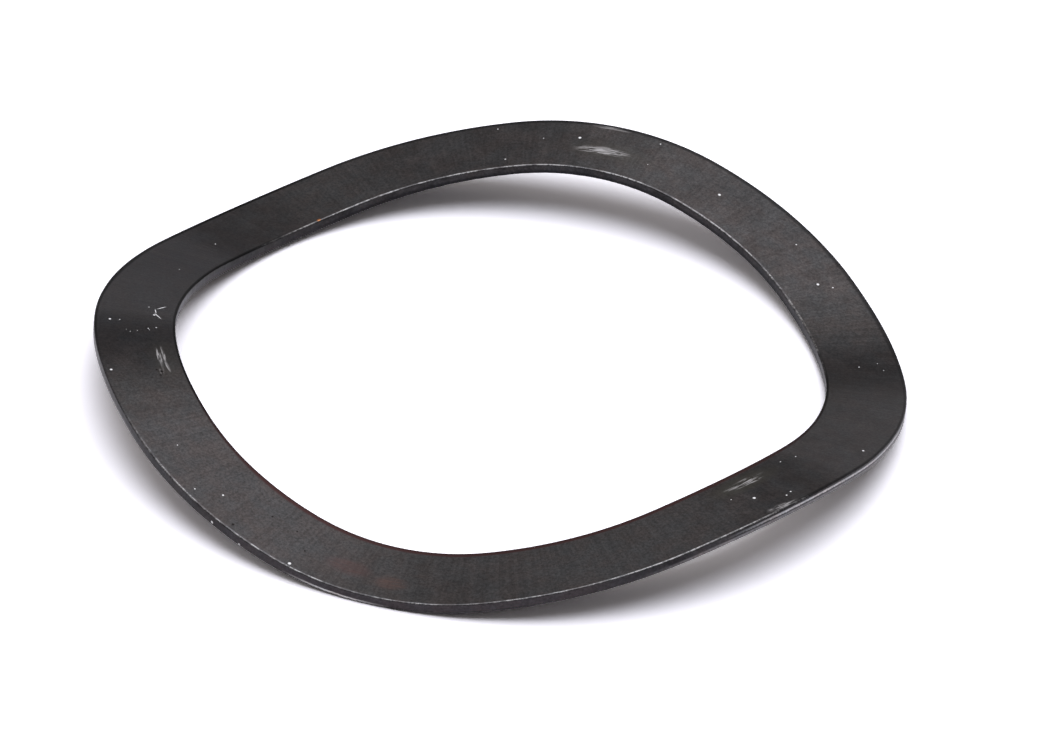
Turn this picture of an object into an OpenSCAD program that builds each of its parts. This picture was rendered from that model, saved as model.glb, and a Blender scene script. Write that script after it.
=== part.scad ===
// Wave spring washer: a flat ring of spring steel, bent into crests and troughs without stretching it.
// Every straight line of the bent sheet runs out from the washer's middle. So each bend is part of a
// cone with its tip there, and the flanks between the bends are flat and meet the cones smoothly.

/* [Washer] */
// Diameter of the shaft that passes through
shaft_d = 27; // [20:0.5:50]
// Room between the shaft and the bore, on each side
shaft_gap = 0.05; // [0.05:0.05:0.6]
// Width of the ring, seen from above
ring_w = 3.45; // [2:0.05:6]
// Unloaded height, from the lowest point to the highest
free_h = 3; // [1.5:0.1:6]
// Number of waves round the ring
waves = 3; // [2:1:6]
// Share of each half wave that is bent, while the rest of it stays flat
bend_share = 0.48; // [0.2:0.02:0.8]

/* [Sheet] */
// Thickness of the spring steel
sheet_t = 0.45; // [0.3:0.05:0.8]
// Radius that tumbling leaves on the edges
edge_r = 0.06; // [0.02:0.01:0.14]

/* [Hidden] */
$fn = 96;

// Outside diameter
outer_d = shaft_d + 2 * (shaft_gap + ring_w);

// Turn from a crest to the middle of the flank beside it
half_wave = 90 / waves;

// Angle by which the sheet climbs outwards along a crest, so that the rim there reaches half the height
rim_x = outer_d / 2 - edge_r;
rim_y = sheet_t / 2 - edge_r;
crest_tilt = asin((free_h / 2 - edge_r) / norm([rim_x, rim_y])) - atan(rim_y / rim_x);

// Slope of a flank along the ring, where it passes through half the height
flank_slope = atan(2 * tan(crest_tilt) / (sin(half_wave) * (2 - bend_share)));

// A crest's cone: how far its axis dips outwards, and the angle from that axis to the sheet
axis_dip = atan2(sin(flank_slope) * sin(half_wave) - sin(crest_tilt), cos(crest_tilt) - cos(flank_slope));
cone_half = axis_dip + crest_tilt;

// Half turns of a bend about its cone's axis, and of a flank about its own normal, up to where they meet
bend_half = atan2(
    sin(flank_slope) * cos(half_wave),
    cos(flank_slope) * cos(axis_dip) - sin(flank_slope) * sin(half_wave) * sin(axis_dip)
);
flank_half = atan2(
    cos(axis_dip) * cos(flank_slope) * sin(half_wave) - sin(axis_dip) * sin(flank_slope),
    cos(axis_dip) * cos(half_wave)
);

// Radii of the flat ring before bending; the bore is narrowest at the crests and troughs
blank_out = outer_d / 2;
blank_in = (shaft_d / 2 + shaft_gap + sheet_t / 2 * sin(crest_tilt)) / cos(crest_tilt);

// Each flank is slimmer all round by the step and runs into the bends by the lap, a turn in degrees
seam_step = 0.001;
seam_lap = 0.05;

// Cross section of the strip, drawn outwards from the washer's middle
module strip_section(trim) {
    corner_r = edge_r - trim;
    flat_w = blank_out - blank_in - 2 * edge_r;
    flat_h = sheet_t - 2 * edge_r;
    translate([blank_in + edge_r, -flat_h / 2]) {
        translate([0, -corner_r])
            square([flat_w, flat_h + 2 * corner_r]);
        translate([-corner_r, 0])
            square([flat_w + 2 * corner_r, flat_h]);
        for (x = [0, flat_w], y = [0, flat_h])
            translate([x, y])
                circle(corner_r);
    }
}

// The strip turned about an axis through the washer's middle, at an angle from that axis
module turned_strip(half_turn, axis_angle, trim = 0) {
    rotate_extrude(angle = 2 * half_turn, start = -half_turn)
        rotate(90 - axis_angle)
            strip_section(trim);
}

// One crest, centred on the X axis
module crest() {
    rotate([0, 90 + axis_dip, 0])
        rotate(180)
            turned_strip(bend_half, cone_half);
}

// The flat flank that falls from a crest to the next trough, centred on the X axis
module flank() {
    rotate([-flank_slope, 0, 0])
        turned_strip(flank_half + seam_lap, 90, seam_step);
}

// Half waves in turn, every second one upside down, with one crest on the +Y side
module washer() {
    color("#38363a")
        translate([0, 0, free_h / 2])
            for (i = [0 : 2 * waves - 1])
                rotate(90 + i * 2 * half_wave)
                    mirror([0, 0, i % 2]) {
                        crest();
                        rotate(half_wave)
                            flank();
                    }
}

washer();
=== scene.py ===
import math

import bpy
from mathutils import Matrix, Vector, noise


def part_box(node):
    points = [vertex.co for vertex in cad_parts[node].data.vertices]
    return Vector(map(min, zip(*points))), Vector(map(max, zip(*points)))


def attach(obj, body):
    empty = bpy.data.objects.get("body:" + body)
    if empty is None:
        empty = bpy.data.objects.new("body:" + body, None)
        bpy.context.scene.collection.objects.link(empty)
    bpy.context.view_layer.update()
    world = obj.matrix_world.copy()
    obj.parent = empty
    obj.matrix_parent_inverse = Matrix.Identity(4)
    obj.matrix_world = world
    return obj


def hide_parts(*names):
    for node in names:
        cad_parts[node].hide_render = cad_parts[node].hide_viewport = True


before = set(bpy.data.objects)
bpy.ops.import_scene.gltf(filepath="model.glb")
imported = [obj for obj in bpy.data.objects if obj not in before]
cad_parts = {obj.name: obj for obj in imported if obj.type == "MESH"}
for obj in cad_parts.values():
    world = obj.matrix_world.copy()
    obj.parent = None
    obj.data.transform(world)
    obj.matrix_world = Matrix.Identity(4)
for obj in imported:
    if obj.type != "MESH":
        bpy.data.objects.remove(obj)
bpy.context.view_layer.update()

mm = 0.001
boxLow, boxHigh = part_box("washer")

# the bent ring: a flat blank with three crests and three troughs, as it was stamped and formed
ring = {
    "outerRadius": (boxHigh.x - boxLow.x) / 2,  # a flank passes half height on the X axis
    "freeHeight": boxHigh.z - boxLow.z,
    "boreRadius": 13.55 * mm,
    "sheet": 0.45 * mm,
    "edgeRound": 0.06 * mm,
    "waves": 3,
    "bendShare": 0.48,
    "firstCrest": math.radians(90),
    "stepsPerHalfWave": 240,
    "arcSteps": 5,
    "faceLoops": (0.02, 0.18, 0.4, 0.6, 0.82, 0.98),  # shares of the flat between two edges
    "wallLoops": (0.12, 0.37, 0.63, 0.88),
    "edgeWander": 0.012 * mm,  # slow drift of the sheared outline
    "wanderLength": 2.6 * mm,
    "shearDepth": 0.006 * mm,  # upright furrows that the punch leaves on the walls
    "shearPitch": 0.11 * mm,
    "burr": 0.016 * mm,  # ragged lip along the lower edges
    "burrLength": 0.35 * mm,
    "underFacing": -0.3,  # a normal that points down by more than this is on the underside
    "faceLean": 0.05,  # points that lean outwards by less than this lie on a face
}


def bendAngles(ring):
    half = math.pi / 2 / ring["waves"]
    rimOut = ring["outerRadius"] - ring["edgeRound"]
    rimUp = ring["sheet"] / 2 - ring["edgeRound"]
    tilt = math.asin((ring["freeHeight"] / 2 - ring["edgeRound"]) / math.hypot(rimOut, rimUp))
    tilt -= math.atan(rimUp / rimOut)
    slope = math.atan(2 * math.tan(tilt) / (math.sin(half) * (2 - ring["bendShare"])))
    rise = math.sin(slope) * math.sin(half)
    dip = math.atan2(rise - math.sin(tilt), math.cos(tilt) - math.cos(slope))
    bend = math.atan2(
        math.sin(slope) * math.cos(half),
        math.cos(slope) * math.cos(dip) - rise * math.sin(dip),
    )
    flank = math.atan2(
        math.cos(dip) * math.cos(slope) * math.sin(half) - math.sin(dip) * math.sin(slope),
        math.cos(dip) * math.cos(half),
    )
    return {"half": half, "tilt": tilt, "slope": slope, "dip": dip, "bend": bend, "flank": flank}


# one straight line of the sheet and the sheet's normal there, for a half wave whose crest is on the X axis
def sheetLine(angles, along):
    cone = angles["dip"] + angles["tilt"]
    bendReach = angles["bend"] * math.sin(cone)
    if abs(along) <= bendReach:
        turn = along / math.sin(cone)
        axis = Vector((math.cos(angles["dip"]), 0, -math.sin(angles["dip"])))
        up = Vector((math.sin(angles["dip"]), 0, math.cos(angles["dip"])))
        spoke = up * math.cos(turn) + Vector((0, 1, 0)) * math.sin(turn)
        line = axis * math.cos(cone) + spoke * math.sin(cone)
        normal = spoke * math.cos(cone) - axis * math.sin(cone)
        return line, normal
    left = bendReach + angles["flank"] - abs(along)  # turn that is left to the middle of the flank
    half, slope = angles["half"], angles["slope"]
    middle = Vector((math.cos(half), math.sin(half), 0))
    level = Vector((math.sin(half), -math.cos(half), 0))
    climb = level * math.cos(slope) + Vector((0, 0, math.sin(slope)))
    line = middle * math.cos(left) + climb * math.sin(left)
    normal = Vector((0, 0, math.cos(slope))) - level * math.sin(slope)
    if along < 0:
        line.y, normal.y = -line.y, -normal.y
    return line, normal


# the strip's cross section as a closed row of points: reach, height, outward direction and which side it is
def stripSection(ring, blankIn):
    blankOut, halfSheet, corner = ring["outerRadius"], ring["sheet"] / 2, ring["edgeRound"]
    corners = [
        (blankIn + corner, halfSheet - corner, 180, "inner"),
        (blankOut - corner, halfSheet - corner, 90, "upper"),
        (blankOut - corner, corner - halfSheet, 0, "outer"),
        (blankIn + corner, corner - halfSheet, -90, "lower"),
    ]
    points = []
    for number, (reach, height, start, before) in enumerate(corners):
        nextReach, nextHeight, _, side = corners[(number + 1) % len(corners)]
        for step in range(ring["arcSteps"] + 1):
            angle = math.radians(start - 90 * step / ring["arcSteps"])
            out = (math.cos(angle), math.sin(angle))
            nearSide = side if step * 2 > ring["arcSteps"] else before
            points.append((reach + corner * out[0], height + corner * out[1], out, nearSide))
        for share in ring["faceLoops"] if side in ("upper", "lower") else ring["wallLoops"]:
            midReach = reach + (nextReach - reach) * share + corner * out[0]
            midHeight = height + (nextHeight - height) * share + corner * out[1]
            points.append((midReach, midHeight, out, side))
    return points


def makeWasher(ring):
    angles = bendAngles(ring)
    halfTurn = angles["bend"] * math.sin(angles["dip"] + angles["tilt"]) + angles["flank"]
    inset = ring["sheet"] / 2 * math.sin(angles["tilt"])
    blankIn = (ring["boreRadius"] + inset) / math.cos(angles["tilt"])
    section = stripSection(ring, blankIn)
    halfWaves, steps = 2 * ring["waves"], ring["stepsPerHalfWave"]
    lift = Vector((0, 0, ring["freeHeight"] / 2))
    vertices, levels = [], []
    for number in range(halfWaves):
        turned = Matrix.Rotation(ring["firstCrest"] + number * 2 * angles["half"], 3, "Z")
        flip = -1 if number % 2 else 1
        for step in range(steps):
            along = halfTurn * (2 * step / steps - 1)
            line, normal = sheetLine(angles, along)
            line.z *= flip
            normal.z *= flip
            line, normal = turned @ line, turned @ normal * flip
            for reach, height, out, side in section:
                spot = line * reach
                drift = ring["edgeWander"] * noise.noise(spot / ring["wanderLength"])
                furrow, lip = 0, 0
                if side in ("outer", "inner"):
                    furrow = ring["shearDepth"] * noise.noise(spot / ring["shearPitch"])
                lean = abs(out[0])
                if lean > ring["faceLean"]:
                    lip = ring["burr"] * max(0, noise.noise(spot / ring["burrLength"])) * max(0, -out[1])
                reach += (drift + furrow) * out[0] * lean
                vertices.append(line * reach + normal * (height - lip) + lift)
                levels.append(height / ring["sheet"] * 2)
    count, rings = len(section), halfWaves * steps
    faces = []
    for row in range(rings):
        nextRow = (row + 1) % rings
        for column in range(count):
            nextColumn = (column + 1) % count
            faces.append((
                row * count + column, nextRow * count + column,
                nextRow * count + nextColumn, row * count + nextColumn,
            ))
    mesh = bpy.data.meshes.new("washerRing")
    mesh.from_pydata(vertices, [], faces)
    sides = [point[3] in ("outer", "inner") for point in section]
    mesh.polygons.foreach_set("use_smooth", [True] * len(faces))
    wallOfColumn = [int(sides[column] and sides[(column + 1) % count]) for column in range(count)]
    mesh.polygons.foreach_set("material_index", wallOfColumn * rings)
    mesh.attributes.new("sheetLevel", "FLOAT", "POINT").data.foreach_set("value", levels)
    mesh.update()
    piece = bpy.data.objects.new("washerRing", mesh)
    bpy.context.scene.collection.objects.link(piece)
    return piece


# small helpers for node trees
def put(tree, kind, **settings):
    node = tree.nodes.new("ShaderNode" + kind)
    for name, value in settings.items():
        setattr(node, name, value)
    return node


def feed(tree, socket, value):
    if isinstance(value, bpy.types.NodeSocket):
        tree.links.new(value, socket)
    else:
        socket.default_value = value


def calc(tree, operation, *values):
    node = put(tree, "Math", operation=operation)
    for socket, value in zip(node.inputs, values):
        feed(tree, socket, value)
    return node.outputs[0]


def fade(tree, value, low, high, toLow=0.0, toHigh=1.0):
    node = put(tree, "MapRange", interpolation_type="SMOOTHSTEP")
    for socket, number in zip(node.inputs[:5], (value, low, high, toLow, toHigh)):
        feed(tree, socket, number)
    return node.outputs[0]


def tint(tree, factor, first, second):
    node = put(tree, "Mix", data_type="RGBA")
    for socket, value in zip((node.inputs[0], node.inputs[6], node.inputs[7]), (factor, first, second)):
        feed(tree, socket, value)
    return node.outputs[2]


def blend(tree, factor, first, second):
    node = put(tree, "Mix", data_type="FLOAT")
    for socket, value in zip((node.inputs[0], node.inputs[2], node.inputs[3]), (factor, first, second)):
        feed(tree, socket, value)
    return node.outputs[0]


def cloud(tree, vector, scale, detail, rough):
    node = put(tree, "TexNoise")
    feed(tree, node.inputs["Vector"], vector)
    node.inputs["Scale"].default_value = scale
    node.inputs["Detail"].default_value = detail
    node.inputs["Roughness"].default_value = rough
    return node.outputs[0]


def newGroup(name, inputs, outputs):
    group = bpy.data.node_groups.new(name, "ShaderNodeTree")
    for label, kind, default in inputs:
        socket = group.interface.new_socket(label, in_out="INPUT", socket_type="NodeSocket" + kind)
        if default is not None:
            socket.default_value = default
    for label, kind in outputs:
        group.interface.new_socket(label, in_out="OUTPUT", socket_type="NodeSocket" + kind)
    return group, group.nodes.new("NodeGroupInput").outputs, group.nodes.new("NodeGroupOutput").inputs


def place(tree, group, **values):
    node = tree.nodes.new("ShaderNodeGroup")
    node.node_tree = group
    for label, value in values.items():
        feed(tree, node.inputs[label], value)
    return node.outputs


# where a point lies: millimetres from the washer's middle, turn round the ring in degrees,
# how far it faces up, and its level between the sheet's two faces
def ringPlaceGroup():
    tree, _, result = newGroup(
        "ringPlace",
        [],
        [("Spot", "Vector"), ("Reach", "Float"), ("Turn", "Float"), ("Facing", "Float"), ("Level", "Float")],
    )
    centred = put(tree, "VectorMath", operation="SUBTRACT")
    feed(tree, centred.inputs[0], put(tree, "TexCoord").outputs["Object"])
    centred.inputs[1].default_value = (0, 0, ring["freeHeight"] / 2)
    scaled = put(tree, "VectorMath", operation="SCALE")
    feed(tree, scaled.inputs[0], centred.outputs[0])
    scaled.inputs["Scale"].default_value = 1 / mm
    length = put(tree, "VectorMath", operation="LENGTH")
    feed(tree, length.inputs[0], scaled.outputs[0])
    axes = put(tree, "SeparateXYZ")
    feed(tree, axes.inputs[0], scaled.outputs[0])
    normal = put(tree, "SeparateXYZ")
    feed(tree, normal.inputs[0], put(tree, "NewGeometry").outputs["Normal"])
    # the underside rubs at the troughs, half a wave on, so its marks are turned by that much
    under = calc(tree, "LESS_THAN", normal.outputs["Z"], ring["underFacing"])
    turn = calc(tree, "DEGREES", calc(tree, "ARCTAN2", axes.outputs["Y"], axes.outputs["X"]))
    turned = calc(tree, "MULTIPLY_ADD", under, 180 / ring["waves"], turn)
    feed(tree, result["Spot"], scaled.outputs[0])
    feed(tree, result["Reach"], length.outputs["Value"])
    feed(tree, result["Turn"], calc(tree, "WRAP", turned, 360.0, 0.0))
    feed(tree, result["Facing"], normal.outputs["Z"])
    feed(tree, result["Level"], put(tree, "Attribute", attribute_name="sheetLevel").outputs["Fac"])
    return tree


skinLook = {
    "mottle": {"scale": 0.6, "detail": 7.0, "rough": 0.85},  # scales are counts per millimetre
    "mottleRange": (0.32, 0.68),
    "grain": {"scale": 9.0, "detail": 3.0, "rough": 0.8},
    "drift": {"scale": 0.9, "detail": 4.0, "rough": 0.65},
    "driftRange": (0.32, 0.68),
    "warm": (1.05, 0.99, 0.965, 1),
    "cool": (0.955, 1.008, 1.03, 1),
    "lines": {"scale": 130.0, "detail": 2.0, "rough": 0.6},  # counts per radian round the ring
    "bumps": {"scale": 20.0, "detail": 1.0, "rough": 0.5},
    "bumpShare": 0.5,
    "lineShare": 0.6,
}


# the oxide skin: slow mottling, fine grain, and the faint radial lines that forming leaves
def oxideSkinGroup():
    tree, given, result = newGroup(
        "oxideSkin",
        [("Spot", "Vector", None)],
        [("Mottle", "Float"), ("Grain", "Float"), ("Lines", "Float"), ("Hue", "Color"), ("Height", "Float")],
    )
    spot = given["Spot"]
    mottle = fade(tree, cloud(tree, spot, **skinLook["mottle"]), *skinLook["mottleRange"])
    grain = cloud(tree, spot, **skinLook["grain"])
    drift = fade(tree, cloud(tree, spot, **skinLook["drift"]), *skinLook["driftRange"])
    spoke = put(tree, "VectorMath", operation="NORMALIZE")
    feed(tree, spoke.inputs[0], spot)
    lines = cloud(tree, spoke.outputs[0], **skinLook["lines"])
    bumps = calc(tree, "MULTIPLY_ADD", cloud(tree, spot, **skinLook["bumps"]), skinLook["bumpShare"], grain)
    feed(tree, result["Mottle"], mottle)
    feed(tree, result["Grain"], grain)
    feed(tree, result["Lines"], lines)
    feed(tree, result["Hue"], tint(tree, drift, skinLook["warm"], skinLook["cool"]))
    feed(tree, result["Height"], calc(tree, "MULTIPLY_ADD", lines, skinLook["lineShare"], bumps))
    return tree


# a stretch of the ring between two turns, with soft ends
def stretchGroup():
    tree, given, result = newGroup(
        "stretch",
        [
            ("Turn", "Float", None), ("Centre", "Float", 0.0),
            ("Half Span", "Float", 20.0), ("Fade", "Float", 8.0),
        ],
        [("Mask", "Float")],
    )
    apart = calc(tree, "WRAP", calc(tree, "SUBTRACT", given["Turn"], given["Centre"]), 180.0, -180.0)
    inside = calc(tree, "SUBTRACT", given["Half Span"], calc(tree, "ABSOLUTE", apart))
    share = calc(tree, "DIVIDE", inside, given["Fade"])
    feed(tree, result["Mask"], fade(tree, share, -1.0, 1.0))
    return tree


rubLook = {
    "oval": (1.0, 0.35),
    "alongScale": 1.5,  # how fast the streaks change along and across, in counts per millimetre
    "acrossScale": 14.0,
    "streak": {"scale": 1.0, "detail": 3.0, "rough": 0.6},
    "streakRange": (0.46, 0.58),
    "facing": (0.4, 0.7),
    "grainEdge": (1.0, 0.5),  # a dust grain's rim, in shares of its size
}


# one rubbed patch: a soft oval that lies along the ring, broken into streaks
def rubGroup():
    tree, given, result = newGroup(
        "rub",
        [
            ("Turn", "Float", None), ("Reach", "Float", None), ("Facing", "Float", None),
            ("Centre Turn", "Float", 0.0), ("Centre Reach", "Float", 15.0),
            ("Half Length", "Float", 1.0), ("Half Width", "Float", 0.2),
            ("Slant", "Float", 0.0), ("Streaks", "Float", 1.0),
        ],
        [("Mask", "Float")],
    )
    apart = calc(tree, "WRAP", calc(tree, "SUBTRACT", given["Turn"], given["Centre Turn"]), 180.0, -180.0)
    along = calc(tree, "MULTIPLY", calc(tree, "RADIANS", apart), given["Centre Reach"])
    across = calc(tree, "SUBTRACT", given["Reach"], given["Centre Reach"])
    cosine, sine = calc(tree, "COSINE", given["Slant"]), calc(tree, "SINE", given["Slant"])
    lengthwise = calc(tree, "MULTIPLY_ADD", along, cosine, calc(tree, "MULTIPLY", across, sine))
    crosswise = calc(
        tree, "SUBTRACT", calc(tree, "MULTIPLY", across, cosine), calc(tree, "MULTIPLY", along, sine)
    )
    first = calc(tree, "DIVIDE", lengthwise, given["Half Length"])
    second = calc(tree, "DIVIDE", crosswise, given["Half Width"])
    squares = calc(tree, "MULTIPLY_ADD", first, first, calc(tree, "MULTIPLY", second, second))
    oval = fade(tree, calc(tree, "SQRT", squares), *rubLook["oval"])
    grainPlace = put(tree, "CombineXYZ")
    feed(tree, grainPlace.inputs[0], calc(tree, "MULTIPLY", lengthwise, rubLook["alongScale"]))
    feed(tree, grainPlace.inputs[1], calc(tree, "MULTIPLY", crosswise, rubLook["acrossScale"]))
    feed(tree, grainPlace.inputs[2], given["Centre Turn"])
    streaks = fade(tree, cloud(tree, grainPlace.outputs[0], **rubLook["streak"]), *rubLook["streakRange"])
    broken = blend(tree, given["Streaks"], 1.0, streaks)
    facing = fade(tree, calc(tree, "ABSOLUTE", given["Facing"]), *rubLook["facing"])
    feed(tree, result["Mask"], calc(tree, "MULTIPLY", calc(tree, "MULTIPLY", oval, broken), facing))
    return tree


# a dust grain, as a small dot
def dustGrainGroup():
    tree, given, result = newGroup(
        "dustGrain",
        [
            ("Turn", "Float", None), ("Reach", "Float", None),
            ("Centre Turn", "Float", 0.0), ("Centre Reach", "Float", 15.0), ("Size", "Float", 0.06),
        ],
        [("Mask", "Float")],
    )
    apart = calc(tree, "WRAP", calc(tree, "SUBTRACT", given["Turn"], given["Centre Turn"]), 180.0, -180.0)
    along = calc(tree, "MULTIPLY", calc(tree, "RADIANS", apart), given["Centre Reach"])
    across = calc(tree, "SUBTRACT", given["Reach"], given["Centre Reach"])
    squares = calc(tree, "MULTIPLY_ADD", along, along, calc(tree, "MULTIPLY", across, across))
    share = calc(tree, "DIVIDE", calc(tree, "SQRT", squares), given["Size"])
    feed(tree, result["Mask"], fade(tree, share, *rubLook["grainEdge"]))
    return tree


edgeLook = {
    "rimReach": 17.0,  # reaches from the washer's middle, in millimetres
    "boreReach": 13.61,
    "midReach": 15.3,
    "offWall": (0.25, 0.5),
    "shadeAndOxideBand": (0.15, 0.08),
    "innerShare": 0.48,  # where the dark band is wider, gaps count for this much
    "outerShare": 0.5,
    "outerWide": {"Centre": 104.0, "Half Span": 86.0, "Fade": 14.0},
    "outerFaint": {"Centre": 60.0, "Half Span": 80.0, "Fade": 14.0},  # the dark band is weaker here
    "faintShare": 0.66,
    "innerWide": {"Centre": 292.0, "Half Span": 62.0, "Fade": 20.0},
    "wearAndHighlightBand": (0.09, 0.04),
    "outerWearAndHighlight": {"Centre": 280.0, "Half Span": 50.0, "Fade": 14.0},
    "outerBare": {"Centre": 268.0, "Half Span": 62.0, "Fade": 8.0},  # no dark band here
    "innerWearAndHighlight": {"Centre": 88.0, "Half Span": 62.0, "Fade": 10.0},
    "coarse": {"scale": 1.1, "detail": 3.0, "rough": 0.6},  # breaks up the bright line of wear and painted highlight
    "coarseRange": (0.36, 0.62, 0.1, 1.2),
    "fine": {"scale": 7.0, "detail": 3.0, "rough": 0.7},
    "fineRange": (0.4, 0.58, 0.1, 1.15),
}


# bright lines on the upper and lower edges, wear with a painted highlight where the edges face the camera,
# and a dark line elsewhere, oxide with painted shade where the edges turn away
def edgeLinesGroup(stretch):
    tree, given, result = newGroup(
        "edgeLines",
        [
            ("Spot", "Vector", None), ("Reach", "Float", None),
            ("Turn", "Float", None), ("Facing", "Float", None),
        ],
        [("Wear And Highlight", "Float"), ("Shade And Oxide", "Float"), ("Bore Tint", "Float"), ("Outside", "Float")],
    )
    outside = calc(tree, "GREATER_THAN", given["Reach"], edgeLook["midReach"])
    outer = place(tree, stretch, **{"Turn": given["Turn"], **edgeLook["outerWearAndHighlight"]})["Mask"]
    inner = place(tree, stretch, **{"Turn": given["Turn"], **edgeLook["innerWearAndHighlight"]})["Mask"]
    stretchMask = blend(tree, outside, inner, outer)
    tilt = calc(tree, "ABSOLUTE", given["Facing"])
    offWall = fade(tree, tilt, *edgeLook["offWall"])
    toRim = calc(tree, "SUBTRACT", edgeLook["rimReach"], given["Reach"])
    toBore = calc(tree, "SUBTRACT", given["Reach"], edgeLook["boreReach"])
    gap = calc(tree, "MINIMUM", toRim, toBore)
    wideOuter = place(tree, stretch, **{"Turn": given["Turn"], **edgeLook["outerWide"]})["Mask"]
    wideInner = place(tree, stretch, **{"Turn": given["Turn"], **edgeLook["innerWide"]})["Mask"]
    wide = blend(tree, outside, wideInner, wideOuter)
    share = blend(tree, outside, edgeLook["innerShare"], edgeLook["outerShare"])
    narrowed = calc(tree, "MULTIPLY", gap, blend(tree, wide, 1.0, share))
    shadeAndOxideBand = calc(tree, "MULTIPLY", fade(tree, narrowed, *edgeLook["shadeAndOxideBand"]), offWall)
    wearAndHighlightBand = calc(tree, "MULTIPLY", fade(tree, gap, *edgeLook["wearAndHighlightBand"]), offWall)
    coarse = fade(tree, cloud(tree, given["Spot"], **edgeLook["coarse"]), *edgeLook["coarseRange"])
    fine = fade(tree, cloud(tree, given["Spot"], **edgeLook["fine"]), *edgeLook["fineRange"])
    ragged = calc(tree, "MULTIPLY", coarse, fine)
    wearAndHighlight = calc(tree, "MULTIPLY", wearAndHighlightBand, stretchMask)
    bare = place(tree, stretch, **{"Turn": given["Turn"], **edgeLook["outerBare"]})["Mask"]
    awayFromHighlight = calc(tree, "SUBTRACT", 1.0, blend(tree, outside, inner, bare))
    feed(tree, result["Wear And Highlight"], calc(tree, "MULTIPLY", wearAndHighlight, ragged))
    faint = place(tree, stretch, **{"Turn": given["Turn"], **edgeLook["outerFaint"]})["Mask"]
    strength = blend(tree, calc(tree, "MULTIPLY", faint, outside), 1.0, edgeLook["faintShare"])
    feed(tree, result["Shade And Oxide"], calc(tree, "MULTIPLY", calc(tree, "MULTIPLY", shadeAndOxideBand, awayFromHighlight), strength))
    feed(tree, result["Bore Tint"], calc(tree, "MULTIPLY", wideInner, calc(tree, "SUBTRACT", 1.0, outside)))
    feed(tree, result["Outside"], outside)
    return tree


# rubbed patches on the crests: turn, reach, half length, half width, slant in degrees, streaks, strength
rubs = [
    (91.0, 15.07, 1.5, 0.36, -3, 1.0, 1.0),
    (90.8, 15.15, 0.55, 0.28, -3, 0.5, 1.0),
    (91.3, 16.75, 1.1, 0.12, 1, 0.8, 0.62),
    (209.0, 14.54, 0.8, 0.085, 2, 0.85, 0.85),
    (210.3, 14.46, 0.95, 0.075, 5, 0.85, 0.85),
    (208.4, 14.31, 0.8, 0.10, 0, 0.9, 0.85),
    (211.9, 14.29, 0.55, 0.08, -4, 0.6, 0.9),
    (213.6, 14.66, 0.3, 0.16, 0, 1.0, 0.35),
    (330.9, 14.60, 1.0, 0.15, 2, 1.0, 1.0),
    (330.6, 14.41, 1.3, 0.2, -2, 1.0, 1.0),
    (330.0, 16.80, 0.95, 0.2, 4, 0.95, 1.0),
]

# fibres that lie on the steel: turn, reach, half length, half width, slant
fibres = [
    (191.2, 14.31, 0.34, 0.029, 42),
    (192.9, 14.51, 0.30, 0.024, -12),
    (194.8, 14.38, 0.42, 0.029, -30),
]
# dust grains and small dark pits: turn, reach, size
dustGrains = [
    (22.7, 16.19, 0.026), (24.8, 16.01, 0.023), (23.5, 15.17, 0.038), (44.7, 15.89, 0.043),
    (55.0, 15.88, 0.040), (46.0, 15.35, 0.073), (70.0, 15.32, 0.078), (83.2, 16.56, 0.040),
    (82.8, 14.96, 0.024), (95.3, 15.76, 0.078), (101.0, 15.60, 0.031), (108.2, 16.56, 0.037),
    (107.0, 14.20, 0.043), (161.0, 15.13, 0.037), (174.0, 14.82, 0.029), (197.6, 16.34, 0.068),
    (197.5, 15.93, 0.036), (212.3, 16.69, 0.068), (242.1, 15.78, 0.053), (230.4, 15.72, 0.031),
    (239.0, 16.54, 0.039), (257.3, 16.79, 0.085), (191.5, 14.83, 0.031), (194.5, 14.53, 0.066),
    (199.9, 14.74, 0.034), (200.7, 15.66, 0.023), (201.3, 15.5, 0.026), (200.9, 15.2, 0.026),
    (200.4, 14.7, 0.026), (199.4, 14.41, 0.037), (328.6, 15.60, 0.079), (332.6, 16.34, 0.046),
    (333.8, 16.25, 0.042), (352.6, 16.38, 0.063), (325.7, 15.07, 0.029), (343.6, 14.51, 0.036),
    (340.2, 14.34, 0.032),
]
pits = [
    (247.2, 16.66, 0.075), (249.8, 15.05, 0.06), (254.4, 14.99, 0.05), (257.6, 15.75, 0.05),
    (213.4, 14.62, 0.09), (214.4, 14.72, 0.07), (212.9, 14.8, 0.06),
]
wallDust = [(244.3, -0.08, 0.07), (249.3, -0.16, 0.06)]  # turn, height above the sheet's middle, size
# faint stains: turn, reach, half length, half width, slant, streaks, colour, strength
stains = [
    (264.7, 15.63, 1.3, 0.62, 0, 0.4, (0.106, 0.063, 0.060, 1), 0.55),
    (271.7, 15.95, 0.95, 0.55, 0, 0.5, (0.122, 0.077, 0.068, 1), 0.6),
    (331.0, 14.45, 2.4, 0.75, 0, 0.2, (0.099, 0.097, 0.078, 1), 0.6),
    (209.0, 14.3, 2.0, 0.8, 0, 0.3, (0.077, 0.076, 0.068, 1), 0.4),
    (90.0, 15.1, 2.4, 0.9, 0, 0.3, (0.087, 0.083, 0.074, 1), 0.4),
    (142.3, 13.68, 0.13, 0.09, 0, 0, (0.42, 0.17, 0.06, 1), 0.9),
]


# the strongest of several masks
def strongest(tree, masks):
    total = masks[0]
    for mask in masks[1:]:
        total = calc(tree, "MAXIMUM", total, mask)
    return total


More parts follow.
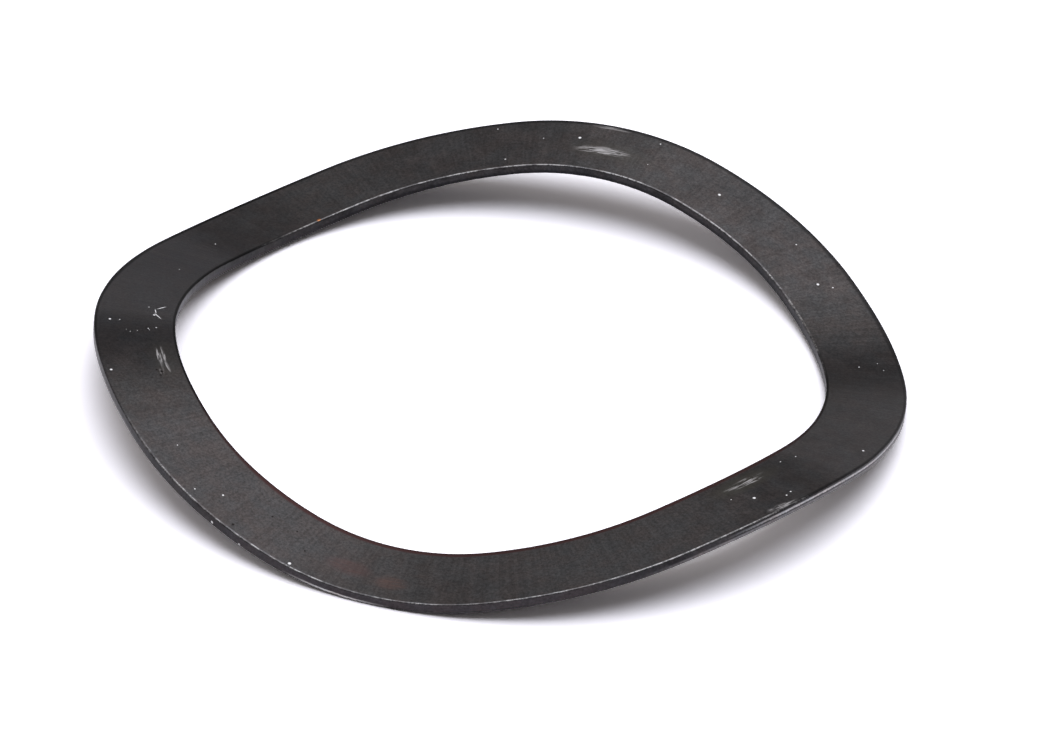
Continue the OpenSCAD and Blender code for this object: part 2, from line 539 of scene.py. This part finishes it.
def makeSteel(name, groups, look, marks):
    material = bpy.data.materials.new(name)
    material.use_nodes = True
    tree = material.node_tree
    shader = tree.nodes["Principled BSDF"]
    where = place(tree, groups["ringPlace"])
    turn, reach, facing = where["Turn"], where["Reach"], where["Facing"]
    skin = place(tree, groups["oxideSkin"], Spot=where["Spot"])
    rimLines = place(tree, groups["edgeLines"], Spot=where["Spot"], Reach=reach, Turn=turn, Facing=facing)

    def rub(centreTurn, centreReach, halfLength, halfWidth, slant, streaks):
        return place(tree, groups["rub"], **{
            "Turn": turn, "Reach": reach, "Facing": facing,
            "Centre Turn": centreTurn, "Centre Reach": centreReach,
            "Half Length": halfLength, "Half Width": halfWidth,
            "Slant": math.radians(slant), "Streaks": streaks,
        })["Mask"]

    def dots(rows, across):
        return strongest(tree, [place(tree, groups["dustGrain"], **{
            "Turn": turn, "Reach": across, "Centre Turn": row[0], "Centre Reach": row[1], "Size": row[2],
        })["Mask"] for row in rows])

    # a factor that swings about 1 by a share to each side
    def swing(value, span, share):
        return fade(tree, value, *span, 1 - share, 1 + share)

    colour = tint(tree, skin["Mottle"], look["dark"], look["pale"])
    # painted light and shade: stretches darkened or lightened in colour in place of darker or brighter
    # reflections; on the walls some lie on burnished steel or a polished burr
    for paintedStretch in look["paintedLightAndShade"]:
        mask = place(tree, groups["stretch"], **{"Turn": turn, **paintedStretch["where"]})["Mask"]
        if "levels" in paintedStretch:
            low, high, soft = paintedStretch["levels"]
            uneven = calc(tree, "SUBTRACT", skin["Grain"], 0.5)
            level = calc(tree, "MULTIPLY_ADD", uneven, look["bandFray"], where["Level"])
            above = fade(tree, level, low - soft, low + soft)
            below = fade(tree, level, high + soft, high - soft)
            mask = calc(tree, "MULTIPLY", mask, calc(tree, "MULTIPLY", above, below))
        if "streaks" in paintedStretch:
            mask = calc(tree, "MULTIPLY", mask, swing(skin["Lines"], look["streakRange"], paintedStretch["streaks"]))
        colour = tint(tree, calc(tree, "MULTIPLY", mask, paintedStretch["strength"]), colour, paintedStretch["colour"])
    grainShade = swing(skin["Grain"], look["grainRange"], look["grainShade"])
    lineShade = swing(skin["Lines"], look["lineRange"], look["lineShade"])
    shade = put(tree, "VectorMath", operation="SCALE")
    feed(tree, shade.inputs[0], colour)
    feed(tree, shade.inputs["Scale"], calc(tree, "MULTIPLY", grainShade, lineShade))
    hued = put(tree, "VectorMath", operation="MULTIPLY")
    feed(tree, hued.inputs[0], shade.outputs[0])
    feed(tree, hued.inputs[1], skin["Hue"])
    colour = hued.outputs[0]
    roughness = blend(tree, skin["Mottle"], look["smooth"], look["rough"])
    # painted shade with oxide: the dark line along the edges, reddish at the bore
    shadeAndOxideColour = tint(tree, rimLines["Bore Tint"], look["rimShadeAndOxide"], look["boreShadeAndOxide"])
    colour = tint(tree, rimLines["Shade And Oxide"], colour, shadeAndOxideColour)
    roughness = blend(tree, rimLines["Shade And Oxide"], roughness, look["dullRough"])
    if marks:
        for row in stains:
            colour = tint(tree, calc(tree, "MULTIPLY", rub(*row[:6]), row[7]), colour, row[6])
        rubbed = strongest(tree, [calc(tree, "MULTIPLY", rub(*row[:6]), row[6]) for row in rubs])
        colour = tint(tree, rubbed, colour, look["rubColour"])
        roughness = blend(tree, rubbed, roughness, look["rubRough"])
        colour = tint(tree, dots(pits, reach), colour, look["pitColour"])
    # the bright edge line: wear with a painted highlight
    wearAndHighlight = calc(tree, "MULTIPLY", rimLines["Wear And Highlight"], look["wearAndHighlightEdge"])
    colour = tint(tree, wearAndHighlight, colour, look["wearAndHighlightColour"])
    if marks:
        upper = calc(tree, "GREATER_THAN", facing, look["dustFacing"])
        dust = strongest(tree, [dots(dustGrains, reach)] + [rub(*row, 0) for row in fibres])
        dust = calc(tree, "MULTIPLY", dust, upper)
        cover = calc(tree, "MAXIMUM", dust, calc(tree, "MULTIPLY", rubbed, look["rubDull"]))
    else:
        rows = [(row[0], edgeLook["rimReach"] + row[1], row[2]) for row in wallDust]
        onWall = calc(tree, "MULTIPLY_ADD", where["Level"], ring["sheet"] / mm / 2, edgeLook["rimReach"])
        dust = calc(tree, "MULTIPLY", dots(rows, onWall), rimLines["Outside"])
        cover = dust
    colour = tint(tree, dust, colour, look["dustColour"])
    roughness = blend(tree, dust, roughness, look["dustRough"])
    feed(tree, shader.inputs["Base Color"], colour)
    feed(tree, shader.inputs["Roughness"], roughness)
    feed(tree, shader.inputs["Metallic"], blend(tree, cover, look["metallic"], 0.0))
    shader.inputs["Specular Tint"].default_value = look["edgeTint"]
    bump = put(tree, "Bump")
    bump.inputs["Strength"].default_value = look["bump"]
    bump.inputs["Distance"].default_value = look["bumpDepth"]
    feed(tree, bump.inputs["Height"], skin["Height"])
    feed(tree, shader.inputs["Normal"], bump.outputs[0])
    return material


faceLook = {
    "dark": (0.053, 0.0505, 0.0512, 1),
    "pale": (0.081, 0.0775, 0.0785, 1),
    # painted light and shade on the face, stretch by stretch
    "paintedLightAndShade": [
        # painted shade: a darker stretch in place of a dark reflection band, streaked
        {
            "where": {"Centre": 169.0, "Half Span": 11.0, "Fade": 8.0}, "streaks": 0.35,
            "colour": (0.018, 0.018, 0.023, 1), "strength": 0.62,
        },
        # painted shade: the wider part of the same dark reflection band
        {
            "where": {"Centre": 193.0, "Half Span": 18.0, "Fade": 10.0}, "streaks": 0.35,
            "colour": (0.034, 0.034, 0.038, 1), "strength": 0.6,
        },
        # painted shade: darkens this stretch to weaken its reflection
        {
            "where": {"Centre": 247.0, "Half Span": 32.0, "Fade": 18.0},
            "colour": (0.055, 0.0515, 0.0512, 1), "strength": 0.6,
        },
        # painted shade: a narrow dark reflection band
        {
            "where": {"Centre": 18.0, "Half Span": 6.0, "Fade": 8.0},
            "colour": (0.033, 0.0315, 0.032, 1), "strength": 0.56,
        },
        # painted light: a paler stretch that brightens its reflection
        {
            "where": {"Centre": 304.0, "Half Span": 12.0, "Fade": 12.0},
            "colour": (0.081, 0.0785, 0.0795, 1), "strength": 0.7,
        },
        # painted light: a paler stretch that brightens its reflection
        {
            "where": {"Centre": 138.0, "Half Span": 8.0, "Fade": 12.0},
            "colour": (0.079, 0.0770, 0.0775, 1), "strength": 0.7,
        },
    ],
    "bandFray": 0.5,  # how far the grain frays the bands on the walls
    "grainRange": (0.25, 0.75),
    "grainShade": 0.36,
    "lineRange": (0.3, 0.7),
    "streakRange": (0.35, 0.65),
    "lineShade": 0.09,
    "smooth": 0.28,
    "rough": 0.32,
    "metallic": 0.9,
    "edgeTint": (0.8, 0.8, 0.8, 1),
    "rimShadeAndOxide": (0.004, 0.004, 0.004, 1),
    "boreShadeAndOxide": (0.050, 0.023, 0.022, 1),
    "dullRough": 0.5,
    "wearAndHighlightColour": (0.26, 0.255, 0.25, 1),
    "wearAndHighlightEdge": 0.9,
    "rubColour": (0.40, 0.39, 0.385, 1),
    "rubRough": 0.6,
    "rubDull": 0.5,
    "pitColour": (0.012, 0.010, 0.010, 1),
    "dustColour": (0.85, 0.85, 0.84, 1),
    "dustRough": 0.9,
    "dustFacing": 0.3,  # dust lies only where the steel faces up by more than this
    "bump": 0.25,
    "bumpDepth": 0.01 * mm,
}
wallLook = dict(
    faceLook,
    dark=(0.010, 0.0094, 0.0100, 1),
    pale=(0.038, 0.0355, 0.0365, 1),
    paintedLightAndShade=[
        # burnished band with a painted highlight across the middle of the wall
        {
            "where": {"Centre": 346.0, "Half Span": 20.0, "Fade": 8.0}, "levels": (0.0, 0.4, 0.12),
            "colour": (0.38, 0.375, 0.375, 1), "strength": 0.85,
        },
        # painted highlight, fainter, on the lower part of the same walls
        {
            "where": {"Centre": 338.0, "Half Span": 26.0, "Fade": 8.0}, "levels": (-0.9, -0.3, 0.15),
            "colour": (0.16, 0.155, 0.155, 1), "strength": 0.7,
        },
        # painted highlight on the lower part of the walls that face the side fill lamp
        {
            "where": {"Centre": 211.0, "Half Span": 14.0, "Fade": 6.0}, "levels": (-1.2, -0.4, 0.12),
            "colour": (0.17, 0.167, 0.17, 1), "strength": 0.75,
        },
        # painted shade: the lower part of the far walls darkened
        {
            "where": {"Centre": 84.0, "Half Span": 60.0, "Fade": 10.0}, "levels": (-1.6, -0.2, 0.3),
            "colour": (0.006, 0.006, 0.007, 1), "strength": 0.8,
        },
        # painted light: the near walls a little paler above their lower edge
        {
            "where": {"Centre": 275.0, "Half Span": 28.0, "Fade": 10.0}, "levels": (-0.6, 1.6, 0.2),
            "colour": (0.036, 0.0315, 0.034, 1), "strength": 0.8,
        },
        # painted reflection of the bright floor along the lower edge of the near wall, on a polished burr
        {
            "where": {"Centre": 264.5, "Half Span": 5.0, "Fade": 4.0}, "levels": (-0.72, -0.38, 0.1),
            "colour": (0.5, 0.495, 0.49, 1), "strength": 0.75,
        },
    ],
    smooth=0.36, rough=0.5, bump=0.4,
)

# camera of the picture: where it stands, how far it is rolled, and where the ring's middle falls
view = {
    "azimuth": math.radians(15.75),
    "elevation": math.radians(33.46),
    "roll": math.radians(3.16),
    "distance": 345 * mm,
    "pixelsPerMetre": 24.012 / mm,
    "imageSize": (1050, 731),
    "ringPixel": (500.8, 357.3),
    "sensorWidth": 36.0,
    "clip": (10 * mm, 20),
}


def makeCamera(view):
    data = bpy.data.cameras.new("photoCamera")
    data.sensor_fit = "HORIZONTAL"
    data.sensor_width = view["sensorWidth"]
    data.lens = view["sensorWidth"] * view["pixelsPerMetre"] * view["distance"] / view["imageSize"][0]
    azimuth, elevation, roll = view["azimuth"], view["elevation"], view["roll"]
    ground = Vector((math.sin(azimuth), -math.cos(azimuth), 0))
    back = ground * math.cos(elevation) + Vector((0, 0, math.sin(elevation)))
    level = Vector((math.cos(azimuth), math.sin(azimuth), 0))
    steep = back.cross(level)
    right = level * math.cos(roll) + steep * math.sin(roll)
    up = back.cross(right)
    sideways = (view["imageSize"][0] / 2 - view["ringPixel"][0]) / view["pixelsPerMetre"]
    upwards = (view["ringPixel"][1] - view["imageSize"][1] / 2) / view["pixelsPerMetre"]
    middle = Vector((0, 0, ring["freeHeight"] / 2))
    stand = middle + back * view["distance"] + right * sideways + up * upwards
    camera = bpy.data.objects.new("photoCamera", data)
    camera.matrix_world = Matrix.Translation(stand) @ Matrix((right, up, back)).transposed().to_4x4()
    data.clip_start, data.clip_end = view["clip"]
    bpy.context.scene.collection.objects.link(camera)
    bpy.context.scene.camera = camera


stage = {
    "floorHalf": 3.0,
    "floorGap": 0.001 * mm,
    "floorColour": (0.90, 0.885, 0.90, 1),
    "floorLift": 1.5,  # the paper is shown this much brighter to the camera, so that it reads as white
    "skyTop": (0.58, 0.55, 0.54, 1),
    "skyGap": (0.12, 0.115, 0.119, 1),  # dark gap between the paper sweep and the soft light
    "skyRim": (0.44, 0.416, 0.413, 1),
    "skyFront": (0.28, 0.265, 0.26, 1),
    "rimFade": (-0.5, 0.1),  # from the far side of the sky to the near side
    "frontFade": (0.0, 0.5),
    "gapStart": (0.15, 0.36),  # from the horizon up
    "gapEnd": (0.44, 0.62),
    "lampDistance": 1.5,
    # lean from straight above, away from the camera and to its right, and half the angle a lamp fills
    "lamps": {
        "softBox": {
            "back": 1, "right": 5, "halfAngle": 31,
            "radiance": 2.85, "colour": (0.95, 0.975, 1.075),
        },
        "sideFill": {
            "back": 0, "right": -65, "halfAngle": 15,
            "radiance": 0.9, "colour": (1.0, 0.985, 1.0),
        },
        "backPanel": {
            "back": 41, "right": 12, "halfAngle": 14,
            "radiance": 0.46, "colour": (1.03, 0.985, 0.97),
        },
    },
}


def makeFloor(stage, lowest):
    half = stage["floorHalf"]
    mesh = bpy.data.meshes.new("studioFloor")
    corners = [(-half, -half, 0), (half, -half, 0), (half, half, 0), (-half, half, 0)]
    mesh.from_pydata(corners, [], [(0, 1, 2, 3)])
    floor = bpy.data.objects.new("studioFloor", mesh)
    bpy.context.scene.collection.objects.link(floor)
    floor.location.z = lowest - stage["floorGap"]
    material = bpy.data.materials.new("studioPaper")
    material.use_nodes = True
    tree = material.node_tree
    tree.nodes.remove(tree.nodes["Principled BSDF"])
    paper, lifted = put(tree, "BsdfDiffuse"), put(tree, "BsdfDiffuse")
    paper.inputs["Color"].default_value = stage["floorColour"]
    brighter = [part * stage["floorLift"] for part in stage["floorColour"][:3]]
    lifted.inputs["Color"].default_value = brighter + [1]
    seen = put(tree, "MixShader")
    rays = put(tree, "LightPath").outputs
    shown = strongest(tree, [rays["Is Camera Ray"], rays["Is Glossy Ray"], rays["Is Transmission Ray"]])
    feed(tree, seen.inputs[0], shown)
    feed(tree, seen.inputs[1], paper.outputs[0])
    feed(tree, seen.inputs[2], lifted.outputs[0])
    feed(tree, tree.nodes["Material Output"].inputs["Surface"], seen.outputs[0])
    mesh.materials.append(material)


def makeLamp(name, lamp):
    distance = stage["lampDistance"]
    radius = distance * math.tan(math.radians(lamp["halfAngle"]))
    data = bpy.data.lights.new(name, "AREA")
    data.shape = "DISK"
    data.size = 2 * radius
    data.energy = lamp["radiance"] * math.pi * math.pi * radius**2  # pi times the area times the radiance
    data.color = lamp["colour"]
    away = Vector((-math.sin(view["azimuth"]), math.cos(view["azimuth"]), 0))
    side = Vector((math.cos(view["azimuth"]), math.sin(view["azimuth"]), 0))
    lean = away * math.tan(math.radians(lamp["back"])) + side * math.tan(math.radians(lamp["right"]))
    aim = (Vector((0, 0, 1)) + lean).normalized()
    piece = bpy.data.objects.new(name, data)
    piece.location = aim * distance
    piece.rotation_euler = aim.to_track_quat("Z", "Y").to_euler()
    piece.visible_camera = False
    bpy.context.scene.collection.objects.link(piece)


def makeSky(stage):
    world = bpy.data.worlds.new("studioWorld")
    bpy.context.scene.world = world
    world.use_nodes = True
    tree = world.node_tree
    height = put(tree, "SeparateXYZ")
    feed(tree, height.inputs[0], put(tree, "TexCoord").outputs["Generated"])
    front = put(tree, "VectorMath", operation="DOT_PRODUCT")
    feed(tree, front.inputs[0], put(tree, "TexCoord").outputs["Generated"])
    front.inputs[1].default_value = (math.sin(view["azimuth"]), -math.cos(view["azimuth"]), 0)
    nearness = front.outputs["Value"]
    rim = tint(tree, fade(tree, nearness, *stage["rimFade"]), stage["skyRim"], stage["skyGap"])
    top = tint(tree, fade(tree, nearness, *stage["frontFade"]), stage["skyTop"], stage["skyFront"])
    low = tint(tree, fade(tree, height.outputs["Z"], *stage["gapStart"]), rim, stage["skyGap"])
    sky = tint(tree, fade(tree, height.outputs["Z"], *stage["gapEnd"]), low, top)
    feed(tree, tree.nodes["Background"].inputs["Color"], sky)


washer = makeWasher(ring)
print("washer:", len(washer.data.vertices), "points")
groups = {
    "ringPlace": ringPlaceGroup(),
    "oxideSkin": oxideSkinGroup(),
    "stretch": stretchGroup(),
    "rub": rubGroup(),
    "dustGrain": dustGrainGroup(),
}
groups["edgeLines"] = edgeLinesGroup(groups["stretch"])
washer.data.materials.append(makeSteel("blackenedFace", groups, faceLook, True))
washer.data.materials.append(makeSteel("shearedEdge", groups, wallLook, False))
print("finishes:", [material.name for material in washer.data.materials])
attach(washer, "root")
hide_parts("washer")
makeFloor(stage, min(corner[2] for corner in washer.bound_box))
makeSky(stage)
for lampName, lampLook in stage["lamps"].items():
    makeLamp(lampName, lampLook)
makeCamera(view)
bpy.context.scene.view_settings.view_transform = "Standard"
print("stage and camera are set")
